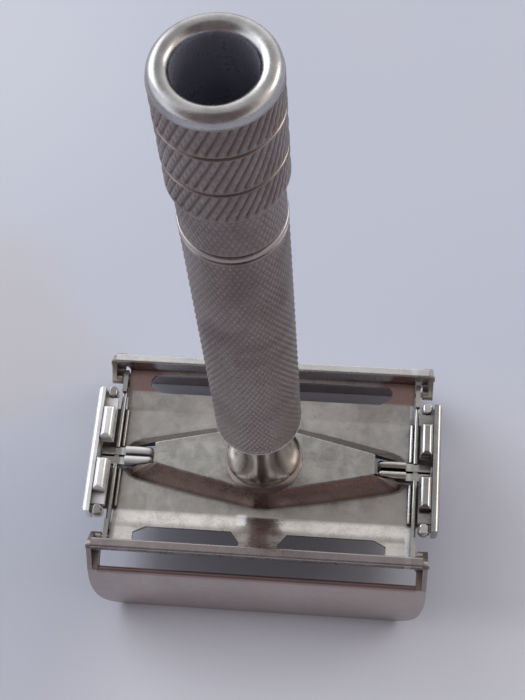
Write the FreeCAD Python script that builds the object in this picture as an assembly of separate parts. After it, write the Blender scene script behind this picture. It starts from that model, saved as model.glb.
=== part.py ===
import FreeCAD, Part
import math
import os

os.makedirs("parts", exist_ok=True)

V = FreeCAD.Vector

# Twist-to-open double-edge safety razor, standing head-down on its two open
# doors.  Millimetres.  +Z runs up the handle, X runs along the head, and the
# origin is on the handle's axis, on the surface that the doors stand on.
# Heights below are measured from the tops of the guard bars and every solid is
# raised by BAR_TOP_Z at the end.

# ---- driving dimensions -------------------------------------------------
BAR_TOP_Z = 13.95        # guard-bar tops above the standing surface

# guard plate
SHEET = 0.6              # sheet thickness
TRAY_Z = -3.8            # upper face of the flat tray
TRAY_HALF_Y = 6.85       # where the tray starts to slope up
FOLD_Y = 9.2             # inner edge of the lather slots
FOLD_Z = -3.2
SLOT_OUT_Y = 11.6        # outer edge of the lather slots
SLOT_OUT_Z = -2.75
WALL_Z = -2.65           # foot of the wall that stands up to each guard bar
SLOT_X0, SLOT_X1 = 2.4, 15.8
BAR_IN_Y, BAR_OUT_Y = 12.05, 13.25
BAR_FALL = 0.12          # the bar tops fall outwards
BAR_DEEP = 1.5
BAR_HALF_X = 20.3
TRAY_HALF_X = 18.7
LUG_GAP_Y = 1.42         # half width of the end notches for the crosshead lugs
LUG_GAP_X = 14.0
TONGUE_Y0, TONGUE_Y1 = 3.0, 6.2
WING_Y = 6.9             # the tray runs out under the cross arms to this |y|
LIP_X0, LIP_Y1, LIP_TOP_Z = 18.3, 6.7, -3.3   # upturned lips on the tray's ends

# raised bridge
HUMP_TOP_Z = -1.0
HUMP_WALL = 0.55

# door hinge and linkage
HINGE_Y, HINGE_Z = 12.65, -1.7
DOOR_SWING = 84.0        # degrees, open to closed
PIN_R = 0.4
PIN_CLEAR = 0.04
CRANK = 2.25             # crank length, hinge axis to crank pin
DOOR_HALF_X = 20.98
DOOR_T = 0.7
DOOR_TOP = (14.70, -4.20)    # (|y|, z) of the hinge-side edge, doors open
DOOR_FOOT = (15.80, -13.78)  # (|y|, z) of the free edge, doors open
DOOR_BULGE = 0.8
DOOR_CORNER_RX, DOOR_CORNER_RZ = 3.9, 9.0
CHEEK_X0, CHEEK_X1 = 20.38, 20.98   # thin hinge eyes beside the bars
POST_X0 = 19.68                     # the cheeks are wider below the bars

# end caps
CAP_X0, CAP_X1 = 21.2, 22.15
CAP_HALF_Y = 8.5
CAP_TOP_Z = -0.55
TAB_X0, TAB_X1 = 19.65, 21.05
TAB_Y0, TAB_Y1 = 1.4, 5.7
RIVET_X, RIVET_Y = 20.32, 8.1

# crosshead and rod
ROD_R = 1.25
ROD_BORE_R = 1.35
XBAR_TOP_Z, XBAR_BOT_Z = -5.6, -6.6
XBAR_HALF_Y = 0.6
LUG_X0, LUG_X1 = 14.78, 21.05
LUG_MID_X, LUG_LOW_Z = 17.9, -3.0   # the lugs step down beyond this |x|
LUG_Y0, LUG_Y1 = 0.15, 1.15
LUG_TOP_Z = -2.0
ARM_X0, ARM_X1 = 18.82, 19.4
ARM_HALF_Y = 11.85
ARM_HALF_Z = 0.95
ARM_MID_Y, ARM_MID_TOP_Z, ARM_MID_BOT_Z = 8.8, -2.75, -3.4
BLOCK_X0, BLOCK_Y0, BLOCK_Z = 19.45, 12.0, -2.4   # hinge blocks under the bar ends
ROD_TOP_Z = 58.0

# neck and handle
NECK_TOP_Z = 17.5
TUBE_Z0, TUBE_Z1 = 12.25, 56.2
TUBE_R, TUBE_BORE_R = 5.05, 4.3
SLEEVE_R = 2.85
SLEEVE_Z0, SLEEVE_Z1 = 47.6, 66.0
BUSH_Z0 = 48.5
BUSH_CLEAR = 0.05

# knob
COLLAR_Z0, COLLAR_Z1, COLLAR_R = 56.45, 57.2, 5.08
KNOB_STEP_Z, KNOB_NARROW_R, KNOB_WIDE_R = 63.5, 4.95, 5.45
GROOVE_Z = (67.9, 73.0)
GROOVE_W, GROOVE_D = 0.35, 0.28
RIM_Z = 77.0
KNOB_TOP_Z = 78.1
KNOB_BORE_R = 3.45


# ---- helpers --------------------------------------------------------------
def prism_x(points, x0, x1):
    """Closed polygon in (y, z), pushed along X."""
    wire = Part.makePolygon([V(x0, y, z) for y, z in points] + [V(x0, *points[0])])
    return Part.Face(wire).extrude(V(x1 - x0, 0, 0))


def prism_z(points, z0, z1):
    """Closed polygon in (x, y), pushed along Z."""
    wire = Part.makePolygon([V(x, y, z0) for x, y in points] + [V(points[0][0], points[0][1], z0)])
    return Part.Face(wire).extrude(V(0, 0, z1 - z0))


def box(x0, y0, z0, x1, y1, z1):
    return Part.makeBox(x1 - x0, y1 - y0, z1 - z0, V(x0, y0, z0))


def cyl_x(x0, x1, y, z, r):
    return Part.makeCylinder(r, x1 - x0, V(x0, y, z), V(1, 0, 0))


def cyl_z(x, y, z0, z1, r):
    return Part.makeCylinder(r, z1 - z0, V(x, y, z0), V(0, 0, 1))


def ring_z(z0, z1, r_out, r_in):
    return cyl_z(0, 0, z0, z1, r_out).cut(cyl_z(0, 0, z0 - 1, z1 + 1, r_in))


def turned(edges):
    """Solid of revolution about Z from connected edges in the XZ plane."""
    return Part.Solid(Part.Face(Part.Wire(edges)).revolve(V(0, 0, 0), V(0, 0, 1), 360))


def line(p, q):
    return Part.LineSegment(V(p[0], 0, p[1]), V(q[0], 0, q[1])).toShape()


def arc3(p, m, q):
    return Part.Arc(V(p[0], 0, p[1]), V(m[0], 0, m[1]), V(q[0], 0, q[1])).toShape()


def stadium_x(p, rp, q, rq, x0, x1):
    """Two discs joined by their outer tangents, in (y, z), pushed along X."""
    dy, dz = q[0] - p[0], q[1] - p[1]
    d = math.hypot(dy, dz)
    base = math.atan2(dz, dy)
    a = math.acos((rp - rq) / d)
    pts = []
    for ang in (base + a, base - a):
        pts.append((p[0] + rp * math.cos(ang), p[1] + rp * math.sin(ang)))
    for ang in (base - a, base + a):
        pts.append((q[0] + rq * math.cos(ang), q[1] + rq * math.sin(ang)))
    body = prism_x(pts, x0, x1)
    return body.fuse([cyl_x(x0, x1, p[0], p[1], rp), cyl_x(x0, x1, q[0], q[1], rq)]).removeSplitter()


def mirror(shape, normal):
    return shape.mirror(V(0, 0, 0), normal)


def both_x(shape):
    return [shape, mirror(shape, V(1, 0, 0))]


def one(shapes):
    s = shapes[0].fuse(shapes[1:]).removeSplitter()
    return s


def try_fillet(shape, r, pick):
    """Round the edges that pick() accepts, stepping the radius down if needed."""
    edges = [e for e in shape.Edges if pick(e)]
    for k in (1.0, 0.7, 0.45):
        try:
            s = shape.makeFillet(r * k, edges)
            if s.isValid() and s.Volume > 0:
                return s
        except Exception:
            pass
    return shape


def write(name, shapes):
    """One STEP for the node, raised so that the doors' free edges are at z = 0."""
    up = []
    for s in shapes if isinstance(shapes, list) else [shapes]:
        for solid in s.Solids:
            c = solid.copy()
            c.translate(V(0, 0, BAR_TOP_Z))
            up.append(c)
    out = up[0] if len(up) == 1 else Part.makeCompound(up)
    out.exportStep(os.path.join("parts", name + ".step"))
    return out


# ---- guard plate ----------------------------------------------------------
def section_x(points, radii, x0, x1):
    """Polygon in (y, z) with corners rounded by radii {index: r}, pushed along X."""
    n = len(points)
    starts, ends, mids = [], [], []
    for i, (y, z) in enumerate(points):
        r = radii.get(i, 0.0)
        if not r:
            starts.append((y, z))
            ends.append((y, z))
            mids.append(None)
            continue
        py, pz = points[i - 1]
        qy, qz = points[(i + 1) % n]
        ay, az, by, bz = py - y, pz - z, qy - y, qz - z
        la, lb = math.hypot(ay, az), math.hypot(by, bz)
        ay, az, by, bz = ay / la, az / la, by / lb, bz / lb
        half_ang = math.acos(max(-1.0, min(1.0, ay * by + az * bz))) / 2
        t, d = r / math.tan(half_ang), r / math.sin(half_ang)
        my, mz = ay + by, az + bz
        lm = math.hypot(my, mz)
        my, mz = my / lm, mz / lm
        starts.append((y + ay * t, z + az * t))
        ends.append((y + by * t, z + bz * t))
        mids.append((y + my * (d - r), z + mz * (d - r)))
    edges = []
    for i in range(n):
        j = (i + 1) % n
        if mids[i]:
            edges.append(Part.Arc(V(x0, *starts[i]), V(x0, *mids[i]), V(x0, *ends[i])).toShape())
        if math.hypot(ends[i][0] - starts[j][0], ends[i][1] - starts[j][1]) > 1e-6:
            edges.append(Part.LineSegment(V(x0, *ends[i]), V(x0, *starts[j])).toShape())
    return Part.Face(Part.Wire(edges)).extrude(V(x1 - x0, 0, 0))


half = [
    (0, TRAY_Z), (TRAY_HALF_Y, TRAY_Z), (FOLD_Y, FOLD_Z), (SLOT_OUT_Y, SLOT_OUT_Z),
    (BAR_IN_Y, WALL_Z), (BAR_IN_Y, 0.0), (BAR_OUT_Y, -BAR_FALL), (BAR_OUT_Y, -BAR_DEEP), (12.62, -1.62),
    (12.55, WALL_Z - 0.45), (SLOT_OUT_Y + 0.05, SLOT_OUT_Z - 0.5), (FOLD_Y + 0.05, FOLD_Z - 0.5),
    (TRAY_HALF_Y + 0.1, TRAY_Z - SHEET), (0, TRAY_Z - SHEET),
]
sheet_half = section_x(half, {1: 1.2, 2: 0.8, 4: 0.22, 5: 0.22, 6: 0.28, 7: 0.3, 9: 0.35, 12: 1.2},
                       -TRAY_HALF_X, TRAY_HALF_X)
bar_sec = [(BAR_IN_Y, -1.6), (BAR_IN_Y, 0.0), (BAR_OUT_Y, -BAR_FALL), (BAR_OUT_Y, -BAR_DEEP), (12.62, -1.62)]
bar_half = section_x(bar_sec, {1: 0.22, 2: 0.28, 3: 0.3}, -BAR_HALF_X, BAR_HALF_X)
for sx in (1, -1):
    x0, x1 = sorted((sx * BLOCK_X0, sx * BAR_HALF_X))
    bar_half = bar_half.fuse(box(x0, BLOCK_Y0 + 0.05, BLOCK_Z, x1, BAR_OUT_Y - 0.1, -1.2))
plate = sheet_half.fuse([bar_half])
# tongues at each end that the end caps are staked on, and the tray's upturned lips
for sx in (1, -1):
    x0, x1 = sorted((sx * LIP_X0, sx * TRAY_HALF_X))
    lip = box(x0, LUG_GAP_Y, TRAY_Z - 0.1, x1, LIP_Y1, LIP_TOP_Z)
    lip = try_fillet(lip, 0.18, lambda e: all(abs(v.Point.z - LIP_TOP_Z) < 1e-6 for v in e.Vertexes))
    plate = plate.fuse(lip)
    x0, x1 = sorted((sx * (TRAY_HALF_X - 0.5), sx * (CAP_X0 + 0.6)))
    plate = plate.fuse(box(x0, TONGUE_Y0, TRAY_Z - SHEET, x1, TONGUE_Y1, TRAY_Z))
    x0, x1 = sorted((sx * (TRAY_HALF_X - 0.5), sx * CAP_X0))
    plate = plate.fuse(box(x0, LUG_GAP_Y, TRAY_Z - SHEET, x1, WING_Y, TRAY_Z))
plate = plate.fuse(mirror(plate, V(0, 1, 0))).removeSplitter()

# four lather slots, cut off slantwise at their inner corners
slot = [
    (SLOT_X0 + 1.1, FOLD_Y), (SLOT_X1 - 1.5, FOLD_Y), (SLOT_X1, FOLD_Y + 0.85), (SLOT_X1, SLOT_OUT_Y - 0.6),
    (SLOT_X1 - 0.6, SLOT_OUT_Y), (SLOT_X0 + 0.3, SLOT_OUT_Y), (SLOT_X0, SLOT_OUT_Y - 0.3), (SLOT_X0, FOLD_Y + 1.5),
]
cutters = []
for sx in (1, -1):
    for sy in (1, -1):
        cutters.append(prism_z([(sx * x, sy * y) for x, y in slot], -6, 2))
# opening under the bridge, and the end notches for the crosshead's lugs
foot_in = [(17.15, 0.6), (17.0, 1.25), (16.5, 1.75), (15.7, 2.2), (7.9, 4.05), (0.8, 5.2)]


def four_way(q):
    """16-gon that is symmetric about both axes from its first quadrant."""
    return (q + [(-x, y) for x, y in reversed(q)] + [(-x, -y) for x, y in q]
            + [(x, -y) for x, y in reversed(q)])


cutters.append(prism_z(four_way(foot_in), -6, 0))
cutters.append(box(LUG_GAP_X, -LUG_GAP_Y, -6, 25, LUG_GAP_Y, 0))
cutters.append(box(-25, -LUG_GAP_Y, -6, -LUG_GAP_X, LUG_GAP_Y, 0))
for sy in (1, -1):
    for x0, x1 in ((BLOCK_X0 - 0.05, BAR_HALF_X + 0.1), (-BAR_HALF_X - 0.1, -BLOCK_X0 + 0.05)):
        cutters.append(cyl_x(x0, x1, sy * HINGE_Y, HINGE_Z, PIN_R))
for c in cutters:
    plate = plate.cut(c)
# ---- raised bridge of the same stamping: hollow, slanted walls, open ends ---
top_o = [(14.12, 0.7), (14.08, 1.05), (13.9, 1.3), (13.5, 1.5), (7.8, 2.84), (0.9, 4.42)]
foot_o = [(18.15, 0.9), (18.0, 1.7), (17.4, 2.4), (16.4, 2.86), (8.0, 4.75), (0.9, 5.98)]
top_i = [(13.5, 0.4), (13.45, 0.62), (13.3, 0.8), (12.9, 1.0), (7.6, 2.3), (0.7, 3.86)]
foot_i = [(17.35, 0.6), (17.2, 1.3), (16.7, 1.85), (15.8, 2.26), (7.9, 4.1), (0.8, 5.25)]


def wire_at(q, z):
    pts = four_way(q)
    return Part.makePolygon([V(x, y, z) for x, y in pts] + [V(pts[0][0], pts[0][1], z)])


outer = Part.makeLoft([wire_at(foot_o, TRAY_Z), wire_at(top_o, HUMP_TOP_Z)], True, True)
outer = try_fillet(outer, 0.3, lambda e: all(abs(v.Point.z - HUMP_TOP_Z) < 1e-6 for v in e.Vertexes))
inner = Part.makeLoft([wire_at(foot_i, TRAY_Z), wire_at(top_i, HUMP_TOP_Z - HUMP_WALL)], True, True)
inner = inner.fuse(prism_z(four_way(foot_i), TRAY_Z - 0.5, TRAY_Z))
hump = outer.cut(inner)
hump = hump.cut(cyl_z(0, 0, -6, 2, 2.6))
for sx in (1, -1):
    x0, x1 = sorted((sx * (LUG_GAP_X - 0.05), sx * 20))
    hump = hump.cut(box(x0, -LUG_GAP_Y, -6, x1, LUG_GAP_Y, 2))
guard_plate = one([plate, hump])

# ---- end caps --------------------------------------------------------------
def end_cap():
    wall = [
        (-CAP_HALF_Y, CAP_TOP_Z), (CAP_HALF_Y, CAP_TOP_Z), (CAP_HALF_Y, -3.2), (7.7, -4.5), (4.4, -5.9), (0, -6.9),
        (-4.4, -5.9), (-7.7, -4.5), (-CAP_HALF_Y, -3.2),
    ]
    cap = prism_x(wall, CAP_X0, CAP_X1)

    def outside(e):
        return all(abs(v.Point.x - CAP_X1) < 1e-6 for v in e.Vertexes)

    def corner(e):
        ys = [v.Point.y for v in e.Vertexes]
        zs = [v.Point.z for v in e.Vertexes]
        return all(abs(abs(y) - CAP_HALF_Y) < 1e-6 for y in ys) and all(abs(z - CAP_TOP_Z) < 1e-6 for z in zs)

    cap = try_fillet(cap, 1.7, corner)
    cap = try_fillet(cap, 0.6, outside)
    for sy in (1, -1):
        y0, y1 = sorted((sy * TAB_Y0, sy * TAB_Y1))
        tab = box(TAB_X0, y0, -1.3, TAB_X1, y1, 0.0)
        tab = try_fillet(tab, 0.52, lambda e: all(abs(v.Point.z) < 1e-6 for v in e.Vertexes))
        tab = tab.fuse(box(TAB_X0 + 0.4, y0 + 0.25 * (sy > 0) + 0.1, -1.3, CAP_X0 + 0.3, y1 - 0.25 * (sy < 0) - 0.1, -0.8))
        cap = cap.fuse(tab)
        # shelf that ties the tab and the ear to the wall
        y0, y1 = sorted((sy * 1.36, sy * 7.3))
        cap = cap.fuse(box(TAB_X0 - 0.12, y0, -1.95, CAP_X0 + 0.3, y1, -1.3))
        # round ear under each rivet
        y0, y1 = sorted((sy * 7.35, sy * 8.2))
        ear = cyl_z(RIVET_X, sy * RIVET_Y, -2.1, -1.5, 0.76).fuse(box(RIVET_X, y0, -2.1, CAP_X0 + 0.3, y1, -1.5))
        ear = ear.cut(cyl_z(RIVET_X, sy * RIVET_Y, -3, 0, 0.38))
        cap = cap.fuse(ear)
        y0, y1 = sorted((sy * TONGUE_Y0, sy * TONGUE_Y1))
        cap = cap.cut(box(CAP_X0 - 0.2, y0, TRAY_Z - SHEET, CAP_X0 + 0.6, y1, TRAY_Z))
    return cap.removeSplitter()


end_cap_right = end_cap()
end_cap_left = mirror(end_cap_right, V(1, 0, 0))


# rivets: shank, long rounded head above the ear and a clenched foot under it
def rivet(x, y):
    head = cyl_z(x, y - 0.18, -1.5, -0.9, 0.56).fuse([cyl_z(x, y + 0.18, -1.5, -0.9, 0.56),
                                                     box(x - 0.56, y - 0.18, -1.5, x + 0.56, y + 0.18, -0.9)])
    head = head.removeSplitter()
    head = try_fillet(head, 0.2, lambda e: e.BoundBox.ZMin > -0.91)
    foot = cyl_z(x, y, -2.4, -2.1, 0.6)
    return head.fuse([cyl_z(x, y, -2.2, -1.4, 0.38), foot]).removeSplitter()


end_cap_rivets = [rivet(sx * RIVET_X, sy * RIVET_Y) for sx in (1, -1) for sy in (1, -1)]

# hinge pins, pressed into the ends of the guard bars
door_hinge_pins = []
for sx in (1, -1):
    for sy in (1, -1):
        x0, x1 = sorted((sx * (BLOCK_X0 - 0.05), sx * 21.15))
        door_hinge_pins.append(cyl_x(x0, x1, sy * HINGE_Y, HINGE_Z, PIN_R))


# ---- doors -----------------------------------------------------------------
def circle_through(p, q, bulge):
    """Centre and radius of the arc p-q that bulges to larger |y|."""
    cy, cz = (p[0] + q[0]) / 2, (p[1] + q[1]) / 2
    dy, dz = q[0] - p[0], q[1] - p[1]
    d = math.hypot(dy, dz)
    ny, nz = -dz / d, dy / d          # towards larger |y|
    if ny < 0:
        ny, nz = -ny, -nz
    r = d * d / (8 * bulge) + bulge / 2
    return (cy + ny * (bulge - r), cz + nz * (bulge - r)), r


crank_rest = math.radians(DOOR_SWING / 2)
CRANK_Y = HINGE_Y - CRANK * math.cos(crank_rest)
CRANK_Z = HINGE_Z - CRANK * math.sin(crank_rest)
TRAVEL = 2 * CRANK * math.sin(crank_rest)


def door(side):
    """side = +1: rear door (+Y).  The panel is a shallow shell with rounded free corners."""
    (cy, cz), r = circle_through(DOOR_TOP, DOOR_FOOT, DOOR_BULGE)
    a0 = math.atan2(DOOR_TOP[1] - cz, DOOR_TOP[0] - cy)
    a1 = math.atan2(DOOR_FOOT[1] - cz, DOOR_FOOT[0] - cy)

    def at(rad, a):
        return V(-DOOR_HALF_X, cy + rad * math.cos(a), cz + rad * math.sin(a))

    am, ro, ri = (a0 + a1) / 2, r + DOOR_T / 2, r - DOOR_T / 2

    def cap_mid(a, sign):
        t = V(0, -math.sin(a), math.cos(a)) * (sign * DOOR_T / 2)
        return at(r, a) + t

    edges = [
        Part.Arc(at(ro, a0), at(ro, am), at(ro, a1)).toShape(),
        Part.Arc(at(ro, a1), cap_mid(a1, -1), at(ri, a1)).toShape(),
        Part.Arc(at(ri, a1), at(ri, am), at(ri, a0)).toShape(),
        Part.Arc(at(ri, a0), cap_mid(a0, 1), at(ro, a0)).toShape(),
    ]
    panel = Part.Face(Part.Wire(edges)).extrude(V(2 * DOOR_HALF_X, 0, 0))
    # rounded free corners, longer up the panel than along it
    zf = -BAR_TOP_Z
    for sx in (1, -1):
        x_in = sx * (DOOR_HALF_X - DOOR_CORNER_RX)
        x_out = sx * (DOOR_HALF_X + 1)
        zc = zf + DOOR_CORNER_RZ
        blk = box(min(x_in, x_out), 10, zf - 1, max(x_in, x_out), 20, zc)
        oval = Part.Ellipse(V(x_in, 9, zc + DOOR_CORNER_RZ), V(x_in + DOOR_CORNER_RX, 9, zc), V(x_in, 9, zc))
        rnd = Part.Face(Part.Wire([oval.toShape()])).extrude(V(0, 12, 0))
        panel = panel.cut(blk.cut(rnd))
    # flat foot that the open razor stands on
    panel = panel.cut(box(-30, 10, zf - 2, 30, 20, zf))
    # end cheeks: hinge eye, crank arm and web down to the panel
    top = (DOOR_TOP[0] - 0.12, DOOR_TOP[1] - 0.05)
    low = (DOOR_TOP[0] + 0.47, DOOR_TOP[1] - 2.7)
    eye = (HINGE_Y, HINGE_Z)
    crank = (CRANK_Y, CRANK_Z)
    parts = [panel]
    for sx in (1, -1):
        x0, x1 = sorted((sx * CHEEK_X0, sx * CHEEK_X1))
        w0, w1 = sorted((sx * POST_X0, sx * CHEEK_X1))
        cheek = stadium_x(eye, 0.74, top, 0.6, x0, x1)
        cheek = cheek.fuse([
            stadium_x(eye, 0.74, crank, 0.68, x0, x1),
            prism_x([eye, crank, top], x0, x1),
            stadium_x(crank, 0.68, top, 0.6, w0, w1),
            stadium_x(top, 0.6, low, 0.35, w0, w1),
        ]).removeSplitter()
        parts.append(cheek)
    d = one(parts)
    for sx in (1, -1):
        x0, x1 = sorted((sx * (CHEEK_X0 - 1), sx * (CHEEK_X1 + 1)))
        d = d.cut(cyl_x(x0, x1, HINGE_Y, HINGE_Z, PIN_R + PIN_CLEAR))
        x0, x1 = sorted((sx * (POST_X0 - 1), sx * (CHEEK_X1 + 1)))
        d = d.cut(cyl_x(x0, x1, CRANK_Y, CRANK_Z, PIN_R))
    return d if side > 0 else mirror(d, V(0, 1, 0))


def crank_pins(side):
    pins = []
    for sx in (1, -1):
        x0, x1 = sorted((sx * 18.72, sx * CHEEK_X1))
        pins.append(cyl_x(x0, x1, side * CRANK_Y, CRANK_Z, PIN_R))
    return pins


rear_door = door(+1)
front_door = door(-1)

# ---- crosshead: centre bar, fork lugs, cross arms with pin slots -----------
pieces = [
    box(-LUG_X1, -XBAR_HALF_Y, XBAR_BOT_Z, LUG_X1, XBAR_HALF_Y, XBAR_TOP_Z),
    cyl_z(0, 0, XBAR_BOT_Z, XBAR_TOP_Z, 2.2),
]
for sx in (1, -1):
    x0, x1 = sorted((sx * LUG_X0, sx * LUG_X1))
    pieces.append(box(x0, -LUG_Y1, XBAR_BOT_Z, x1, LUG_Y1, XBAR_TOP_Z))
    for sy in (1, -1):
        y0, y1 = sorted((sy * LUG_Y0, sy * LUG_Y1))
        rr = (LUG_Y1 - LUG_Y0) / 2
        h0, h1 = sorted((sx * LUG_X0, sx * LUG_MID_X))
        pieces.append(box(x0, y0, XBAR_BOT_Z, x1, y1, LUG_LOW_Z))
        pieces.append(box(h0, y0, XBAR_BOT_Z, h1, y1, LUG_TOP_Z - rr))
        pieces.append(cyl_x(h0, h1, (y0 + y1) / 2, LUG_TOP_Z - rr, rr))
        pieces.append(cyl_z(sx * LUG_X0, (y0 + y1) / 2, XBAR_BOT_Z, LUG_TOP_Z - rr, rr))
        pieces.append(Part.makeSphere(rr, V(sx * LUG_X0, (y0 + y1) / 2, LUG_TOP_Z - rr)))
    ax0, ax1 = sorted((sx * ARM_X0, sx * ARM_X1))
    arm = box(ax0, -ARM_HALF_Y, CRANK_Z - ARM_HALF_Z, ax1, ARM_HALF_Y, CRANK_Z + ARM_HALF_Z)
    arm = arm.cut(box(ax0 - 1, -ARM_MID_Y, -10, ax1 + 1, ARM_MID_Y, 5))
    mid = box(ax0, -ARM_MID_Y - 0.3, ARM_MID_BOT_Z, ax1, ARM_MID_Y + 0.3, ARM_MID_TOP_Z)
    mid = try_fillet(mid, 0.22, lambda e: all(abs(v.Point.z - ARM_MID_TOP_Z) < 1e-6 for v in e.Vertexes)
                     and abs(e.Vertexes[0].Point.y - e.Vertexes[1].Point.y) > 1)
    arm = arm.fuse(mid)
    arm = arm.cut(box(ax0 - 1, -LUG_Y1, ARM_MID_BOT_Z + 0.3, ax1 + 1, LUG_Y1, 5))
    slot_y0 = HINGE_Y - CRANK - PIN_R - 0.15
    slot_y1 = CRANK_Y + PIN_R + 0.15
    for sy in (1, -1):
        y0, y1 = sorted((sy * slot_y0, sy * slot_y1))
        arm = arm.cut(box(ax0 - 1, y0, CRANK_Z - PIN_R - 0.1, ax1 + 1, y1, CRANK_Z + PIN_R + 0.1))
    pieces.append(arm)
crosshead = one(pieces).cut(cyl_z(0, 0, -10, 0, ROD_R))

drawbar_rod = cyl_z(0, 0, XBAR_BOT_Z - 0.35, ROD_TOP_Z, ROD_R)
drawbar_rod = try_fillet(drawbar_rod, 0.3, lambda e: e.BoundBox.ZMin > ROD_TOP_Z - 0.01)
rod_washer = ring_z(XBAR_BOT_Z - 0.35, XBAR_BOT_Z, 2.0, ROD_R)

# ---- neck: trumpet flare, spigot into the tube, spigot through the bridge ---
flare = [(4.86, HUMP_TOP_Z + 0.1), (4.42, -0.5), (3.98, 0.2), (3.58, 1.35), (3.28, 3.1), (3.12, 5.4), (3.03, 8.4),
         (3.0, 11.6)]
curve = Part.BSplineCurve()
curve.interpolate([V(r, 0, z) for r, z in flare])
neck = turned([
    line((ROD_BORE_R, HUMP_TOP_Z - 1.35), (2.55, HUMP_TOP_Z - 1.35)),
    line((2.55, HUMP_TOP_Z - 1.35), (2.55, HUMP_TOP_Z)),
    line((2.55, HUMP_TOP_Z), (4.86, HUMP_TOP_Z)),
    line((4.86, HUMP_TOP_Z), (4.86, HUMP_TOP_Z + 0.1)),
    curve.toShape(),
    line((3.0, 11.6), (3.0, NECK_TOP_Z)),
    line((3.0, NECK_TOP_Z), (ROD_BORE_R, NECK_TOP_Z)),
    line((ROD_BORE_R, NECK_TOP_Z), (ROD_BORE_R, HUMP_TOP_Z - 1.35)),
])
neck_nut = ring_z(HUMP_TOP_Z - 1.35, HUMP_TOP_Z - HUMP_WALL, 3.3, 2.55)
neck_ferrule = ring_z(12.6, NECK_TOP_Z, TUBE_BORE_R, 3.0)

# ---- handle tube and its bush ----------------------------------------------
handle_tube = ring_z(TUBE_Z0, TUBE_Z1, TUBE_R, TUBE_BORE_R)
handle_tube = try_fillet(handle_tube, 0.25, lambda e: e.BoundBox.ZMax < TUBE_Z0 + 0.01
                         and e.BoundBox.XLength > 2 * TUBE_R - 0.1)
spindle_bush = ring_z(BUSH_Z0, TUBE_Z1, TUBE_BORE_R, SLEEVE_R + BUSH_CLEAR)

# ---- knob group --------------------------------------------------------------
screw_sleeve = ring_z(SLEEVE_Z0, SLEEVE_Z1, SLEEVE_R, ROD_BORE_R)
retaining_ring = ring_z(47.85, 48.25, 3.9, SLEEVE_R).cut(box(-0.4, 2.5, 47, 0.4, 5, 49))
thrust_washer = ring_z(48.25, 48.43, 4.1, SLEEVE_R)
spring_washer = ring_z(56.27, COLLAR_Z0, 4.5, SLEEVE_R)
knob_collar = ring_z(COLLAR_Z0, COLLAR_Z1, COLLAR_R, SLEEVE_R)
knob_collar = try_fillet(knob_collar, 0.18, lambda e: e.BoundBox.XLength > 2 * COLLAR_R - 0.1)

rim_mid_r = (KNOB_WIDE_R - 0.05 + KNOB_BORE_R) / 2
rim_half = (KNOB_WIDE_R - 0.05 - KNOB_BORE_R) / 2
knob_edges = []
pts = [(SLEEVE_R, COLLAR_Z1), (KNOB_NARROW_R, COLLAR_Z1), (KNOB_NARROW_R, KNOB_STEP_Z - 0.25),
       (KNOB_WIDE_R - 0.15, KNOB_STEP_Z), (KNOB_WIDE_R, KNOB_STEP_Z + 0.25)]
for g in GROOVE_Z:
    pts += [(KNOB_WIDE_R, g - GROOVE_W / 2), (KNOB_WIDE_R - GROOVE_D, g), (KNOB_WIDE_R, g + GROOVE_W / 2)]
pts += [(KNOB_WIDE_R, RIM_Z - 0.15), (KNOB_WIDE_R - 0.15, RIM_Z)]
for p, q in zip(pts, pts[1:]):
    knob_edges.append(line(p, q))
rim_top = (rim_mid_r + 0.05, KNOB_TOP_Z)
c45 = math.cos(math.radians(45))
ra, rb = KNOB_WIDE_R - 0.15, KNOB_BORE_R
out_mid = (rim_top[0] + (ra - rim_top[0]) * 0.78, RIM_Z + (KNOB_TOP_Z - RIM_Z) * 0.68)
in_mid = (rim_top[0] - (rim_top[0] - rb) * 0.76, RIM_Z + (KNOB_TOP_Z - RIM_Z) * 0.68)
knob_edges.append(arc3((ra, RIM_Z), out_mid, rim_top))
knob_edges.append(arc3(rim_top, in_mid, (rb, RIM_Z)))
knob_edges += [
    line((rb, RIM_Z), (rb, SLEEVE_Z1)),
    line((rb, SLEEVE_Z1), (SLEEVE_R, SLEEVE_Z1)),
    line((SLEEVE_R, SLEEVE_Z1), (SLEEVE_R, COLLAR_Z1)),
]
knob = turned(knob_edges)

# ---- write every node ---------------------------------------------------------
nodes = {
    "guard_plate": guard_plate,
    "end_cap_left": end_cap_left,
    "end_cap_right": end_cap_right,
    "end_cap_rivets": end_cap_rivets,
    "door_hinge_pins": door_hinge_pins,
    "neck": neck,
    "neck_nut": neck_nut,
    "neck_ferrule": neck_ferrule,
    "handle_tube": handle_tube,
    "spindle_bush": spindle_bush,
    "front_door": front_door,
    "front_door_crank_pins": crank_pins(-1),
    "rear_door": rear_door,
    "rear_door_crank_pins": crank_pins(+1),
    "crosshead": crosshead,
    "drawbar_rod": drawbar_rod,
    "rod_washer": rod_washer,
    "knob": knob,
    "knob_collar": knob_collar,
    "screw_sleeve": screw_sleeve,
    "spring_washer": spring_washer,
    "thrust_washer": thrust_washer,
    "retaining_ring": retaining_ring,
}
total = 0.0
written = {}
for name, shape in nodes.items():
    written[name] = write(name, shape)
    s = written[name]
    total += s.Volume
    b = s.BoundBox
    print("%-22s solids %d valid %s vol %8.2f  x %.2f..%.2f y %.2f..%.2f z %.2f..%.2f" % (
        name, len(s.Solids), s.isValid(), s.Volume, b.XMin, b.XMax, b.YMin, b.YMax, b.ZMin, b.ZMax))
print("total volume %.1f mm3, crank pin |y| %.3f z %.3f, travel %.3f" % (total, CRANK_Y, CRANK_Z + BAR_TOP_Z, TRAVEL))
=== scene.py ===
import math

import bpy
from mathutils import Euler, Matrix, Vector, noise


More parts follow.
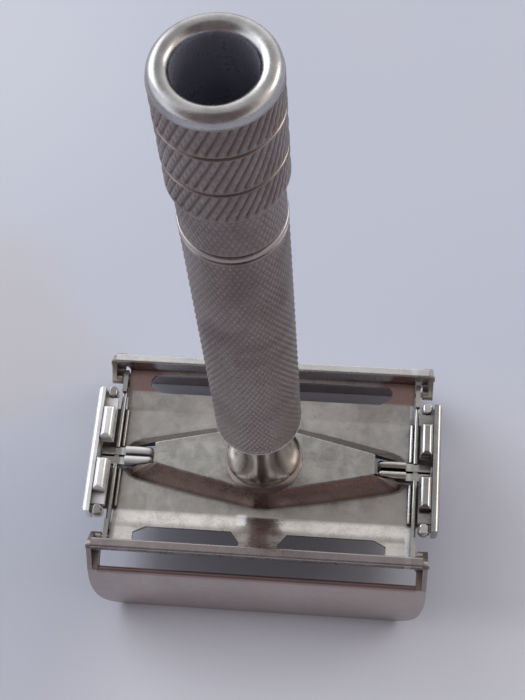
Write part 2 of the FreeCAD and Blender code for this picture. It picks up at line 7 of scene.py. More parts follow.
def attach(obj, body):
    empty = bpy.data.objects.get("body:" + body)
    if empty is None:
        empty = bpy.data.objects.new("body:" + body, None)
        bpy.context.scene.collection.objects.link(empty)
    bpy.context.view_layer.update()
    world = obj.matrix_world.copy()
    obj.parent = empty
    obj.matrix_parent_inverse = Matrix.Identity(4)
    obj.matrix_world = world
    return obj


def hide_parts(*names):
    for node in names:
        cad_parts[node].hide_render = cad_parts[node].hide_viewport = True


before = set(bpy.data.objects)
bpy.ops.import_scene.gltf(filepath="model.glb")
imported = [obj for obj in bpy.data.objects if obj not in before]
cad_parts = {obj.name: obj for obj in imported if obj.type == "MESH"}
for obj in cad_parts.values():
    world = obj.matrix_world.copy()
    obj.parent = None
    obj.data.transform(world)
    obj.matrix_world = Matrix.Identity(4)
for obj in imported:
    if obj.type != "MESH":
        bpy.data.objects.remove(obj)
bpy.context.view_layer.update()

MM = 0.001
SCENE = bpy.context.scene
COLL = SCENE.collection

# ------------------------------------------------------------------ camera
# height of the guard-bar tops, which the view and the rows below are measured from
BAR_Z = 0.01395
cam_data = bpy.data.cameras.new("camera")
cam = bpy.data.objects.new("camera", cam_data)
COLL.objects.link(cam)
cam.location = (13.326 * MM, -66.196 * MM, 162.901 * MM + BAR_Z)
cam.rotation_euler = Euler((0.465, 0.049, 0.082), "XYZ")
cam_data.sensor_width = 36
cam_data.lens = 72.07
cam_data.clip_start = 0.005
cam_data.clip_end = 5
SCENE.camera = cam


# --------------------------------------------------------------- materials
class Mat:
    """Small helper round one node tree."""

    def __init__(self, name):
        self.m = bpy.data.materials.new(name)
        self.m.use_nodes = True
        self.t = self.m.node_tree
        self.t.nodes.clear()
        self.out = self.n("ShaderNodeOutputMaterial")
        self.b = self.n("ShaderNodeBsdfPrincipled")
        self.link(self.b.outputs["BSDF"], self.out.inputs["Surface"])

    def n(self, kind, **props):
        node = self.t.nodes.new(kind)
        for k, v in props.items():
            setattr(node, k, v)
        return node

    def link(self, a, b):
        self.t.links.new(a, b)

    def coord(self, scale=(1, 1, 1)):
        tc = self.n("ShaderNodeTexCoord")
        mp = self.n("ShaderNodeMapping")
        mp.inputs["Scale"].default_value = scale
        self.link(tc.outputs["Object"], mp.inputs["Vector"])
        return mp.outputs["Vector"]

    def noise(self, vec, scale, detail=4.0, rough=0.55, dist=0.0):
        t = self.n("ShaderNodeTexNoise")
        t.inputs["Scale"].default_value = scale
        t.inputs["Detail"].default_value = detail
        t.inputs["Roughness"].default_value = rough
        t.inputs["Distortion"].default_value = dist
        self.link(vec, t.inputs["Vector"])
        return t.outputs["Fac"]

    def ramp(self, fac, stops, interp="LINEAR"):
        r = self.n("ShaderNodeValToRGB")
        r.color_ramp.interpolation = interp
        el = r.color_ramp.elements
        while len(el) < len(stops):
            el.new(0.5)
        for e, (p, c) in zip(el, stops):
            e.position = p
            e.color = (c, c, c, 1) if isinstance(c, (int, float)) else (*c, 1)
        self.link(fac, r.inputs["Fac"])
        return r.outputs["Color"]

    def mix(self, fac, a, b, blend="MIX"):
        x = self.n("ShaderNodeMix", data_type="RGBA", blend_type=blend)
        if isinstance(fac, (int, float)):
            x.inputs[0].default_value = fac
        else:
            self.link(fac, x.inputs[0])
        for sock, v in ((x.inputs[6], a), (x.inputs[7], b)):
            if isinstance(v, tuple):
                sock.default_value = (*v, 1)
            else:
                self.link(v, sock)
        return x.outputs[2]

    def maths(self, op, a, b=None, clamp=False):
        x = self.n("ShaderNodeMath", operation=op, use_clamp=clamp)
        for i, v in enumerate((a, b)):
            if v is None:
                continue
            if isinstance(v, (int, float)):
                x.inputs[i].default_value = v
            else:
                self.link(v, x.inputs[i])
        return x.outputs[0]

    def remap(self, v, a, b, c, d):
        x = self.n("ShaderNodeMapRange")
        x.inputs[1].default_value, x.inputs[2].default_value = a, b
        x.inputs[3].default_value, x.inputs[4].default_value = c, d
        self.link(v, x.inputs[0])
        return x.outputs[0]

    def step(self, v, a, b):
        """0 at a, 1 at b, smooth between."""
        x = self.n("ShaderNodeMapRange", interpolation_type="SMOOTHSTEP")
        rev = a > b
        x.inputs[1].default_value, x.inputs[2].default_value = min(a, b), max(a, b)
        x.inputs[3].default_value, x.inputs[4].default_value = (1.0, 0.0) if rev else (0.0, 1.0)
        self.link(v, x.inputs[0])
        return x.outputs[0]

    def bump(self, height, strength, dist):
        x = self.n("ShaderNodeBump")
        x.inputs["Strength"].default_value = strength
        x.inputs["Distance"].default_value = dist
        self.link(height, x.inputs["Height"])
        self.link(x.outputs["Normal"], self.b.inputs["Normal"])


B_TRAY = BAR_Z / MM - 3.8           # height of the tray, in millimetres


def where(m):
    """Position in millimetres."""
    xyz = m.n("ShaderNodeSeparateXYZ")
    m.link(m.coord((1000, 1000, 1000)), xyz.inputs[0])
    return xyz.outputs


def nickel(name, base, dark, rough=(0.22, 0.42), spots=0.5, bump=0.15, scale=1.0, cavity=False, brushed=None,
           stain=None, stain_at=(0.46, 0.62), band=False, tint=None, metal=1.0,
           corner_shade=0.0):
    """Dulled nickel plate: tone drifts over millimetres, small dark flecks, handling
    scratches in the roughness, shallow pits and, on some pieces, a warm stain."""
    m = Mat(name)
    v = m.coord()
    big = m.noise(v, 110 * scale, 4.0, 0.62, 0.8)
    mid = m.noise(v, 520 * scale, 6.0, 0.66, 0.4)
    fine = m.noise(v, 2600 * scale, 4.0, 0.6)
    tone = m.maths("ADD", m.maths("MULTIPLY", big, 0.5), m.maths("MULTIPLY", mid, 0.5))
    tone = m.remap(tone, 0.38, 0.62, 0.0, 1.0)
    col = m.mix(tone, dark, base)
    if stain:
        st_f = m.ramp(m.noise(v, 60 * scale, 4.0, 0.6, 1.2), [(stain_at[0], 0.0), (stain_at[1], 1.0)])
        col = m.mix(m.maths("MULTIPLY", st_f, 0.75), col, stain)
    # small irregular dark flecks
    speck = m.n("ShaderNodeTexVoronoi", feature="F1")
    speck.inputs["Scale"].default_value = 1500 * scale
    speck.inputs["Randomness"].default_value = 1.0
    wv = m.n("ShaderNodeVectorMath", operation="ADD")
    nz = m.n("ShaderNodeTexNoise")
    nz.inputs["Scale"].default_value = 1900 * scale
    m.link(v, nz.inputs["Vector"])
    sc = m.n("ShaderNodeVectorMath", operation="SCALE")
    sc.inputs["Scale"].default_value = 0.0006
    m.link(nz.outputs["Color"], sc.inputs[0])
    m.link(v, wv.inputs[0])
    m.link(sc.outputs[0], wv.inputs[1])
    m.link(wv.outputs[0], speck.inputs["Vector"])
    s = m.ramp(speck.outputs["Distance"], [(0.0, 1.0), (0.12, 0.8), (0.26, 0.0)])
    gate = m.ramp(m.noise(v, 330 * scale, 3.0, 0.6), [(0.54, 0.0), (0.66, 1.0)])
    s = m.maths("MULTIPLY", m.maths("MULTIPLY", s, gate), spots)
    col = m.mix(s, col, (dark[0] * 0.45, dark[1] * 0.38, dark[2] * 0.32))
    # pale scuffs
    scuff = m.ramp(m.noise(m.coord((1, 2.2, 1)), 780 * scale, 5.0, 0.7, 1.5), [(0.60, 0.0), (0.72, 1.0)])
    col = m.mix(m.maths("MULTIPLY", scuff, 0.30), col, (min(1, base[0] * 1.45), min(1, base[1] * 1.45), min(1, base[2] * 1.45)))
    if cavity:
        at = m.n("ShaderNodeAttribute", attribute_name="cavity")
        c = m.maths("MULTIPLY", at.outputs["Fac"], m.remap(mid, 0.3, 0.7, 0.65, 1.0))
        # the knob's coarse bands are darker than the finer knurl
        c = m.maths("MULTIPLY", c, m.remap(m.step(where(m)[2], 76.9, 77.6), 0.0, 1.0, 0.55, 1.0))
        col = m.mix(c, col, (dark[0] * 0.30, dark[1] * 0.25, dark[2] * 0.23))
    if band:
        # the pressed plate: dull tray, a painted highlight on the slope in front, warm tone by the rear slots
        px, py, pz = where(m)
        ax, ay = m.maths("ABSOLUTE", px), m.maths("ABSOLUTE", py)
        isf = m.step(py, 0.5, -0.5)
        tray = m.maths("MULTIPLY", m.step(m.maths("ABSOLUTE", m.maths("SUBTRACT", pz, B_TRAY)), 0.30, 0.12), m.step(ay, 7.1, 6.9))
        slope = m.maths("MULTIPLY", m.step(ay, 6.72, 6.95), m.step(ay, 9.5, 9.25))
        slope = m.maths("MULTIPLY", slope, m.step(pz, B_TRAY + 1.4, B_TRAY + 1.0))
        fs = m.maths("MULTIPLY", m.maths("MULTIPLY", slope, isf), m.step(ay, 6.65, 7.5))
        rs = m.maths("MULTIPLY", slope, m.maths("SUBTRACT", 1.0, isf))
        mid_dark = m.step(m.maths("ADD", ax, m.maths("MULTIPLY", ay, -0.35)), 0.1, -1.2)
        shine = m.maths("MULTIPLY", fs, m.maths("SUBTRACT", 1.0, mid_dark))
        shine = m.maths("MULTIPLY", shine, m.remap(mid, 0.35, 0.6, 0.55, 1.0))
        # painted shade on the front slope towards the slot edge, a painted cream highlight over the rest of it
        edge = m.step(ay, 8.1, 9.1)
        shine = m.maths("MULTIPLY", shine, m.maths("SUBTRACT", 1.0, m.maths("MULTIPLY", edge, 0.75)))
        col = m.mix(m.maths("MULTIPLY", m.maths("MULTIPLY", fs, edge), 0.8), col, (0.27, 0.245, 0.24))
        col = m.mix(shine, col, (0.93, 0.895, 0.86))
        # painted reflection of the neck on the slope: brown in the middle, a pale painted highlight beside it
        brown = m.maths("MULTIPLY", m.maths("MULTIPLY", m.step(ax, 1.75, 0.75), m.step(ay, 7.05, 7.5)), isf)
        brown = m.maths("MULTIPLY", brown, m.maths("MULTIPLY", m.step(ay, 12.0, 11.8), m.step(pz, B_TRAY + 2.0, B_TRAY + 1.6)))
        col = m.mix(m.maths("MULTIPLY", brown, 0.85), col, (0.215, 0.145, 0.135))
        pale = m.maths("MULTIPLY", m.maths("MULTIPLY", m.step(px, -3.3, -2.7), m.step(px, -1.5, -2.1)),
                       m.maths("MULTIPLY", m.maths("MULTIPLY", m.step(ay, 6.5, 6.9), m.step(ay, 8.5, 8.0)), isf))
        col = m.mix(m.maths("MULTIPLY", pale, 0.9), col, (0.98, 0.99, 1.0))
        shine = m.maths("ADD", shine, m.maths("MULTIPLY", pale, 0.8), clamp=True)
        # painted highlight: beside the slots the front sheet is paler too
        side = m.maths("MULTIPLY", m.maths("MULTIPLY", m.step(ay, 9.2, 9.6), m.step(ay, 12.0, 11.6)), isf)
        side = m.maths("MULTIPLY", side, m.step(ax, 15.0, 16.2))
        shine = m.maths("ADD", shine, m.maths("MULTIPLY", side, 0.8), clamp=True)
        col = m.mix(m.maths("MULTIPLY", side, 0.6), col, (0.84, 0.81, 0.78))
        wall = m.maths("MULTIPLY", m.step(pz, B_TRAY + 0.12, B_TRAY + 0.35), m.step(pz, B_TRAY + 2.76, B_TRAY + 2.6))
        wall = m.maths("MULTIPLY", wall, m.maths("MULTIPLY", m.step(ay, 6.2, 6.0), m.step(ax, 18.15, 18.05)))
        # painted light on the tray's upturned end lips: the right lip a pale painted highlight, the left lip painted in
        # shade
        lips = m.maths("MULTIPLY", m.maths("MULTIPLY", m.step(ax, 18.1, 18.18), m.step(ax, 18.9, 18.8)), m.step(pz, B_TRAY + 0.1, B_TRAY + 0.3))
        col = m.mix(m.maths("MULTIPLY", m.maths("MULTIPLY", lips, m.step(px, -1.0, 1.0)), 0.7), col, (0.90, 0.92, 0.97))
        col = m.mix(m.maths("MULTIPLY", m.maths("MULTIPLY", lips, m.step(px, 1.0, -1.0)), 0.6), col, (0.30, 0.28, 0.275))
        # painted light on the bridge walls: the front wall a dark brown painted reflection with a pinkish painted
        # highlight at its upper right and painted shade along its foot, the rear wall painted in shade
        col = m.mix(m.maths("MULTIPLY", m.maths("MULTIPLY", wall, isf), 0.8), col, (0.265, 0.175, 0.16))
        lit = m.maths("MULTIPLY", m.maths("MULTIPLY", wall, isf), m.maths("MULTIPLY", m.step(pz, B_TRAY + 1.7, B_TRAY + 2.3), m.step(px, 0.5, 3.0)))
        col = m.mix(m.maths("MULTIPLY", lit, 0.55), col, (0.50, 0.30, 0.29))
        foot = m.maths("MULTIPLY", m.maths("MULTIPLY", wall, isf), m.step(pz, B_TRAY + 0.9, B_TRAY + 0.3))
        col = m.mix(m.maths("MULTIPLY", foot, 0.6), col, (0.12, 0.085, 0.08))
        col = m.mix(m.maths("MULTIPLY", m.maths("MULTIPLY", wall, m.maths("SUBTRACT", 1.0, isf)), 0.75), col, (0.17, 0.14, 0.13))
        low = m.maths("MULTIPLY", m.maths("MULTIPLY", m.step(ay, 9.1, 9.5), m.step(ay, 12.4, 12.2)), m.maths("SUBTRACT", 1.0, isf))
        low = m.maths("MULTIPLY", low, m.step(pz, B_TRAY + 3.4, B_TRAY + 3.2))
        col = m.mix(m.maths("MULTIPLY", low, 0.85), col, (0.52, 0.49, 0.495))
        ends = m.maths("MULTIPLY", low, m.maths("MULTIPLY", m.step(ax, 13.2, 15.0), m.step(pz, B_TRAY + 1.9, B_TRAY + 1.4)))
        col = m.mix(m.maths("MULTIPLY", ends, 0.8), col, (0.36, 0.215, 0.19))
        back = m.maths("MULTIPLY", tray, m.maths("SUBTRACT", 1.0, isf))
        col = m.mix(m.maths("MULTIPLY", back, 0.30), col, (0.27, 0.26, 0.255))
        # painted shade under the cross arms; the two bars in painted lit and shaded tones, the front bar a darker
        # pinkish painted reflection, the rear bar paler
        wing = m.maths("MULTIPLY", tray, m.step(ax, 18.1, 18.8))
        col = m.mix(m.maths("MULTIPLY", wing, 0.85), col, (0.17, 0.155, 0.155))
        bars = m.maths("MULTIPLY", m.step(ay, 11.9, 12.0), m.step(pz, B_TRAY + 3.3, B_TRAY + 3.5))
        col = m.mix(m.maths("MULTIPLY", m.maths("MULTIPLY", bars, isf), 0.75), col, (0.45, 0.395, 0.405))
        col = m.mix(m.maths("MULTIPLY", m.maths("MULTIPLY", bars, m.maths("SUBTRACT", 1.0, isf)), 0.75), col, (0.76, 0.75, 0.76))
        dull = m.maths("ADD", m.maths("MULTIPLY", tray, 0.45), m.maths("MULTIPLY", rs, 0.55), clamp=True)
        dull = m.maths("ADD", dull, m.maths("MULTIPLY", shine, 0.75), clamp=True)
        m.link(m.maths("SUBTRACT", 1.0, dull), m.b.inputs["Metallic"])
    soft = None
    if tint:
        col, soft = tint(m, col, mid)
    if corner_shade:
        # painted shade: darker where surfaces stand close together (inner corners, joints between pieces), from ambient
        # occlusion
        ao = m.n("ShaderNodeAmbientOcclusion", samples=6)
        ao.inputs["Distance"].default_value = 0.0014
        g = m.maths("ADD", ao.outputs["AO"], m.remap(mid, 0.3, 0.7, -0.10, 0.10))
        g = m.maths("MULTIPLY", m.step(g, 0.86, 0.40), corner_shade)
        col = m.mix(g, col, (0.085, 0.07, 0.065))
    m.link(col, m.b.inputs["Base Color"])
    # roughness: smears and directional scratches
    st = m.noise(m.coord(brushed or (1, 6, 1)), 1500 * scale, 3.0, 0.7)
    rr = m.maths("ADD", m.maths("MULTIPLY", mid, 0.6), m.maths("MULTIPLY", st, 0.4))
    r = m.remap(rr, 0.33, 0.67, rough[0], rough[1])
    r = m.maths("ADD", r, m.maths("MULTIPLY", s, 0.25))
    if cavity:
        r = m.maths("ADD", r, m.maths("MULTIPLY", c, 0.25), clamp=True)
        r = m.maths("SUBTRACT", r, m.maths("MULTIPLY", m.step(where(m)[2], 90.6, 90.9), 0.04), clamp=True)
    if band:
        r = m.maths("ADD", r, m.maths("MULTIPLY", m.maths("ADD", tray, rs, clamp=True), 0.16), clamp=True)
    elif soft:
        m.link(m.maths("SUBTRACT", metal, soft), m.b.inputs["Metallic"])
    else:
        m.b.inputs["Metallic"].default_value = metal
    m.link(r, m.b.inputs["Roughness"])
    h = m.maths("ADD", m.maths("MULTIPLY", st, 0.4), m.maths("MULTIPLY", fine, 0.6))
    h = m.maths("SUBTRACT", h, m.maths("MULTIPLY", s, 0.8))
    m.bump(h, bump, 0.00003)
    return m.m


def knurl_tint(m, col, mid):
    """A darker knob, a paler tube foot, a rim painted in shade at its left and right sides, and a bore wall painted a
    lighter blue-grey as painted light.
    """
    px, py, pz = where(m)
    col = m.mix(m.maths("MULTIPLY", m.step(pz, 70.9, 72.0), 0.26), col, (0.20, 0.165, 0.165))
    col = m.mix(m.maths("MULTIPLY", m.step(pz, 50.0, 29.0), 0.38), col, (0.64, 0.58, 0.565))
    rim = m.step(pz, 90.6, 90.9)
    col = m.mix(rim, col, m.mix(m.remap(mid, 0.35, 0.65, 0.0, 1.0), (0.46, 0.45, 0.455), (0.60, 0.59, 0.595)))
    # painted shade on the rim's left and right sides, damping its highlights
    rim_side_shade = m.maths("ADD", m.maths("MULTIPLY", m.step(px, -1.5, -5.0), 0.50), m.maths("MULTIPLY", m.step(px, 2.5, 5.0), 0.22))
    col = m.mix(m.maths("MULTIPLY", rim, rim_side_shade), col, (0.16, 0.155, 0.16))
    # painted light: the bore wall is painted a lighter blue-grey and made less metallic
    r = m.maths("SQRT", m.maths("ADD", m.maths("MULTIPLY", px, px), m.maths("MULTIPLY", py, py)))
    bore = m.maths("MULTIPLY", m.step(r, 3.56, 3.47), m.step(pz, 79.0, 79.5))
    col = m.mix(bore, col, (0.41, 0.42, 0.50))
    return col, m.maths("MULTIPLY", bore, 0.5)


def link_tint(m, col, mid):
    """Painted light: the left lugs' rounded tops are painted as a pale highlight, the cross arms beside them painted in
    shade, more on the left.
    """
    px, py, pz = where(m)
    ax = m.maths("ABSOLUTE", px)
    left = m.step(px, 1.0, -1.0)
    arm = m.step(ax, 18.3, 18.7)
    dark = m.maths("MULTIPLY", arm, m.maths("ADD", m.maths("MULTIPLY", left, 0.22), 0.4))
    col = m.mix(dark, col, (0.20, 0.185, 0.18))
    pale = m.maths("MULTIPLY", left, m.maths("SUBTRACT", 1.0, arm))
    col = m.mix(m.maths("MULTIPLY", pale, 0.9), col, (0.98, 0.98, 1.0))
    return col, m.maths("ADD", m.maths("MULTIPLY", pale, 0.72), m.maths("MULTIPLY", arm, 0.25))


def neck_tint(m, col, mid):
    """Painted shade: a brown tone where the flare meets the bridge."""
    px, py, pz = where(m)
    col = m.mix(m.maths("MULTIPLY", m.step(pz, BAR_Z / MM + 0.3, BAR_Z / MM - 0.45), 0.85), col, (0.17, 0.135, 0.125))
    # painted reflection: the middle of the front is browner, down to the joint
    mid_f = m.maths("MULTIPLY", m.step(m.maths("ABSOLUTE", px), 1.9, 0.7), m.step(py, -1.0, -2.2))
    mid_f = m.maths("MULTIPLY", mid_f, m.step(pz, BAR_Z / MM + 6.0, BAR_Z / MM + 1.5))
    return m.mix(m.maths("MULTIPLY", mid_f, 0.30), col, (0.42, 0.29, 0.275)), None


def door_tint(m, col, mid):
    """A dark red line along the hinge-side edge of each panel."""
    px, py, pz = where(m)
    edge = m.maths("MULTIPLY", m.step(pz, BAR_Z / MM - 4.5, BAR_Z / MM - 4.15), m.step(m.maths("ABSOLUTE", py), 14.0, 14.3))
    edge = m.maths("MULTIPLY", edge, m.step(m.maths("ABSOLUTE", px), 19.9, 19.4))
    return m.mix(m.maths("MULTIPLY", edge, 0.55), col, (0.27, 0.14, 0.14)), None


def rivet_tint(m, col, mid):
    px, py, pz = where(m)
    # painted shade: the rivets on the left are darker
    return m.mix(m.maths("MULTIPLY", m.step(px, 1.0, -1.0), 0.75), col, (0.30, 0.28, 0.285)), None


M_SHEET = nickel("nickel_sheet", (0.575, 0.56, 0.54), (0.335, 0.32, 0.305), (0.20, 0.38), 0.45, 0.25,
                 stain=(0.44, 0.41, 0.38), band=True, corner_shade=0.85)
M_POLISH = nickel("nickel_polished", (0.74, 0.72, 0.70), (0.62, 0.59, 0.56), (0.07, 0.18), 0.2, 0.06)
# the left cap is a lit copy painted pale and less metallic, the right cap a shaded copy painted darker
M_CAP_L = nickel("nickel_cap_left_painted_light", (0.93, 0.935, 0.955), (0.80, 0.80, 0.815), (0.16, 0.30), 0.35, 0.06, metal=0.38, corner_shade=0.80)
M_CAP_R = nickel("nickel_cap_right_painted_shade", (0.46, 0.45, 0.45), (0.35, 0.335, 0.33), (0.12, 0.26), 0.35, 0.12, corner_shade=0.80)
M_RIVET = nickel("nickel_rivet", (0.76, 0.75, 0.74), (0.60, 0.58, 0.56), (0.10, 0.22), 0.25, 0.08, tint=rivet_tint, corner_shade=0.80)
M_NECK = nickel("nickel_neck", (0.56, 0.53, 0.51), (0.44, 0.41, 0.385), (0.10, 0.22), 0.2, 0.05, tint=neck_tint, corner_shade=0.60)
M_KNURL = nickel("nickel_knurled", (0.40, 0.348, 0.322), (0.275, 0.23, 0.207), (0.22, 0.38), 0.5, 0.14, cavity=True,
                 stain=(0.21, 0.165, 0.15), stain_at=(0.48, 0.60), tint=knurl_tint)
M_DOOR = nickel("nickel_door", (0.52, 0.475, 0.455), (0.43, 0.385, 0.365), (0.28, 0.42), 0.35, 0.2, brushed=(1, 8, 8),
                stain=(0.50, 0.42, 0.39), tint=door_tint, corner_shade=0.60)
M_COLLAR = nickel("nickel_collar", (0.47, 0.44, 0.435), (0.36, 0.32, 0.31), (0.22, 0.36), 0.3, 0.12)
M_LINK = nickel("nickel_link", (0.78, 0.77, 0.74), (0.62, 0.60, 0.56), (0.10, 0.24), 0.25, 0.08, tint=link_tint, corner_shade=0.70)
M_STEEL = nickel("steel_pin", (0.62, 0.62, 0.62), (0.45, 0.44, 0.42), (0.2, 0.4), 0.3, 0.1)
# its blue-grey tone is painted light for the bottom of the knob's bore
M_DARK = nickel("steel_dark", (0.34, 0.36, 0.44), (0.20, 0.21, 0.27), (0.3, 0.55), 0.3, 0.2)
M_BRASS = nickel("bare_brass", (0.72, 0.55, 0.27), (0.50, 0.36, 0.16), (0.25, 0.45), 0.4, 0.15)

BY_NODE = {
    "guard_plate": M_SHEET, "end_cap_left": M_CAP_L, "end_cap_right": M_CAP_R, "end_cap_rivets": M_RIVET,
    "door_hinge_pins": M_STEEL, "neck": M_NECK, "neck_nut": M_BRASS, "neck_ferrule": M_BRASS,
    "handle_tube": M_KNURL, "spindle_bush": M_BRASS, "front_door": M_DOOR, "front_door_crank_pins": M_STEEL,
    "rear_door": M_DOOR, "rear_door_crank_pins": M_STEEL, "crosshead": M_LINK, "drawbar_rod": M_DARK,
    "rod_washer": M_STEEL, "knob": M_KNURL, "knob_collar": M_COLLAR, "screw_sleeve": M_DARK,
    "spring_washer": M_STEEL, "thrust_washer": M_STEEL, "retaining_ring": M_STEEL,
}
for node, mat in BY_NODE.items():
    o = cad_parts[node]
    for s in o.material_slots:
        s.material = mat
    if not o.material_slots:
        o.data.materials.append(mat)


# ------------------------------------------------------------------ meshes
def new_mesh(name, verts, faces, mat, smooth=True, cavity=None):
    me = bpy.data.meshes.new(name)
    me.from_pydata(verts, [], faces)
    me.validate()
    me.update()
    me.materials.append(mat)
    if cavity is not None:
        a = me.attributes.new("cavity", "FLOAT", "POINT")
        a.data.foreach_set("value", cavity)
    if smooth:
        me.polygons.foreach_set("use_smooth", [True] * len(me.polygons))
    o = bpy.data.objects.new(name, me)
    COLL.objects.link(o)
    return o


def tri(x):
    """1 on whole numbers, 0 halfway between."""
    return abs(2.0 * (x - math.floor(x)) - 1.0)


def lathe(name, profile, mat, seg, knurl=None, closed=True):
    """profile: rows of (r, z[, k]) in millimetres, from one end to the other.  k scales
    the knurl cut on that row.  knurl(theta, z) gives (depth_mm, cavity 0..1)."""
    verts, cav = [], []
    for row in profile:
        r, z = row[0], row[1]
        k = row[2] if len(row) > 2 else 0.0
        for j in range(seg):
            th = 2 * math.pi * j / seg
            d, c = (0.0, 0.0)
            if k and knurl:
                d, c = knurl(th, z)
                d *= k
                c *= k
            verts.append(((r - d) * MM * math.cos(th), (r - d) * MM * math.sin(th), z * MM))
            cav.append(c)
    n = len(profile)
    faces = []
    for i in range(n - 1 + (1 if closed else 0)):
        a, b = i, (i + 1) % n
        for j in range(seg):
            k2 = (j + 1) % seg
            faces.append((a * seg + j, a * seg + k2, b * seg + k2, b * seg + j))
    return new_mesh(name, verts, faces, mat, True, cav)


def diamond(starts, r, beta_deg, depth, weight=(1.0, 1.0), flat=0.35, seed=0.0):
    """Two crossing families of V cuts.  starts: cuts round the tube; beta: helix angle
    from the axis; flat: share of the pitch left uncut on the crest."""
    pitch = 2 * math.pi * r / starts
    vrep = pitch / math.tan(math.radians(beta_deg))

    def f(th, z):
        u = th * starts / (2 * math.pi)
        w = z / vrep
        best = 0.0
        for s, wt in ((1, weight[0]), (-1, weight[1])):
            t = tri(u + s * w)                    # 1 in the middle of a cut
            g = max(0.0, (t - flat) / (1 - flat)) * wt
            best = max(best, g)
        wear = 0.82 + 0.30 * noise.noise(Vector((math.cos(th) * 1.7 + seed, math.sin(th) * 1.7, z * 0.22)))
        return depth * best * min(1.0, wear), best ** 1.5

    return f


B = BAR_Z / MM                      # heights in the rows below are from the bar tops
TUBE = (12.25 + B, 56.2 + B)


def rows(z0, z1, step, r, ease=0.3):
    n = max(2, int(round((z1 - z0) / step)))
    out = []
    for i in range(n + 1):
        z = z0 + (z1 - z0) * i / n
        k = min(1.0, max(0.0, min(z - z0, z1 - z) / ease))
        out.append((r, z, k * k * (3 - 2 * k)))
    return out


# handle tube: knurled outside, plain lip at the foot, open bore
tb0, tb1 = TUBE
prof = [(4.3, tb1), (4.3, tb0 + 0.25), (4.42, tb0 + 0.06), (4.55, tb0), (4.78, tb0), (4.93, tb0 + 0.05), (5.02, tb0 + 0.16),
        (5.05, tb0 + 0.3), (5.05, tb0 + 0.42)]
prof += rows(tb0 + 0.46, tb1 - 0.2, 0.15, 5.05, 0.35)
prof += [(5.05, tb1 - 0.12), (5.0, tb1)]
tube = lathe("handle_tube_knurled", prof, M_KNURL, 424, diamond(53, 5.05, 24, 0.115, flat=0.18))
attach(tube, "frame")
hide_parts("handle_tube")

lip = lathe("handle_tube_lip", [(4.5, tb0 + 0.5), (4.6, tb0 + 0.02), (4.78, tb0 - 0.04), (4.95, tb0 - 0.03), (5.05, tb0 + 0.03),
                                (5.09, tb0 + 0.12), (5.09, tb0 + 0.22), (5.04, tb0 + 0.30), (4.8, tb0 + 0.5)], M_POLISH, 240)
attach(lip, "frame")

# knob: narrow fine-knurled shoulder, three coarse bands, rolled rim, deep bore
k0 = 57.2 + B
prof = [(2.85, 66.0 + B), (2.85, k0), (4.7, k0), (4.86, k0 + 0.03), (4.93, k0 + 0.12), (4.95, k0 + 0.22)]
prof += rows(k0 + 0.26, 63.15 + B, 0.15, 4.95, 0.3)
prof += [(4.96, 63.22 + B), (5.05, 63.32 + B), (5.28, 63.46 + B), (5.40, 63.6 + B), (5.45, 63.78 + B)]
for z0, z1 in ((63.85, 67.68), (68.12, 72.78), (73.22, 76.75)):
    prof += rows(z0 + B, z1 + B, 0.15, 5.45, 0.3)
    if z1 < 76:
        g = (z1 + 0.22) + B
        prof += [(5.41, g - 0.17), (5.3, g - 0.11), (5.18, g - 0.04), (5.17, g + 0.04), (5.3, g + 0.11), (5.41, g + 0.17)]
prof += [(5.43, 76.82 + B), (5.36, 76.9 + B)]
rim = []
for i in range(0, 25):
    a = math.pi * i / 24
    rc, zc, rw, rh = 4.42, 77.0 + B, 0.97, 1.08
    rim.append((rc + rw * math.cos(a), zc + rh * math.sin(a) ** 0.9 if math.sin(a) > 0 else zc))
prof += rim
prof += [(3.45, 76.6 + B), (3.45, 74.0 + B), (3.45, 70.0 + B), (3.45, 66.25 + B), (3.38, 66.06 + B), (3.25, 66.0 + B)]


def knob_knurl(th, z):
    if z < 63.4 + B:
        return FINE(th, z)
    return COARSE(th, z)


FINE = diamond(52, 4.95, 24, 0.12, seed=3.0)
COARSE = diamond(40, 5.45, 24, 0.24, weight=(0.45, 1.0), flat=0.22, seed=7.0)
knob = lathe("knob_knurled", prof, M_KNURL, 480, knob_knurl)
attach(knob, "knob")
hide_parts("knob")

# ----------------------------------------------------------------- lighting
floor_m = Mat("table_top")
v = floor_m.coord()
f1 = floor_m.noise(v, 9, 3.0, 0.5)
f2 = floor_m.noise(v, 60, 4.0, 0.6)
c = floor_m.mix(floor_m.ramp(f1, [(0.35, 0.0), (0.65, 1.0)]), (0.60, 0.645, 0.79), (0.64, 0.665, 0.78))
c = floor_m.mix(floor_m.maths("MULTIPLY", f2, 0.12), c, (0.68, 0.64, 0.62))
sx = floor_m.n("ShaderNodeSeparateXYZ")
floor_m.link(floor_m.coord((1000, 1000, 1000)), sx.inputs[0])
# painted shade: the floor darker towards the camera
near = floor_m.step(sx.outputs[1], 60.0, -70.0)
c = floor_m.mix(floor_m.maths("MULTIPLY", near, 0.55), c, (0.545, 0.555, 0.635))
warm = floor_m.maths("MULTIPLY", floor_m.step(floor_m.noise(v, 22, 3.0, 0.5), 0.52, 0.66), floor_m.step(sx.outputs[0], 0.0, -40.0))
c = floor_m.mix(floor_m.maths("MULTIPLY", warm, 0.45), c, (0.62, 0.585, 0.575))
# painted shadow under the head
under = floor_m.maths("MULTIPLY", floor_m.step(floor_m.maths("ABSOLUTE", sx.outputs[0]), 19.5, 13.0),
                      floor_m.step(floor_m.maths("ABSOLUTE", sx.outputs[1]), 16.0, 13.0))
c = floor_m.mix(floor_m.maths("MULTIPLY", under, floor_m.remap(sx.outputs[1], -10.0, 10.0, 0.62, 0.50)), c, (0.13, 0.115, 0.125))
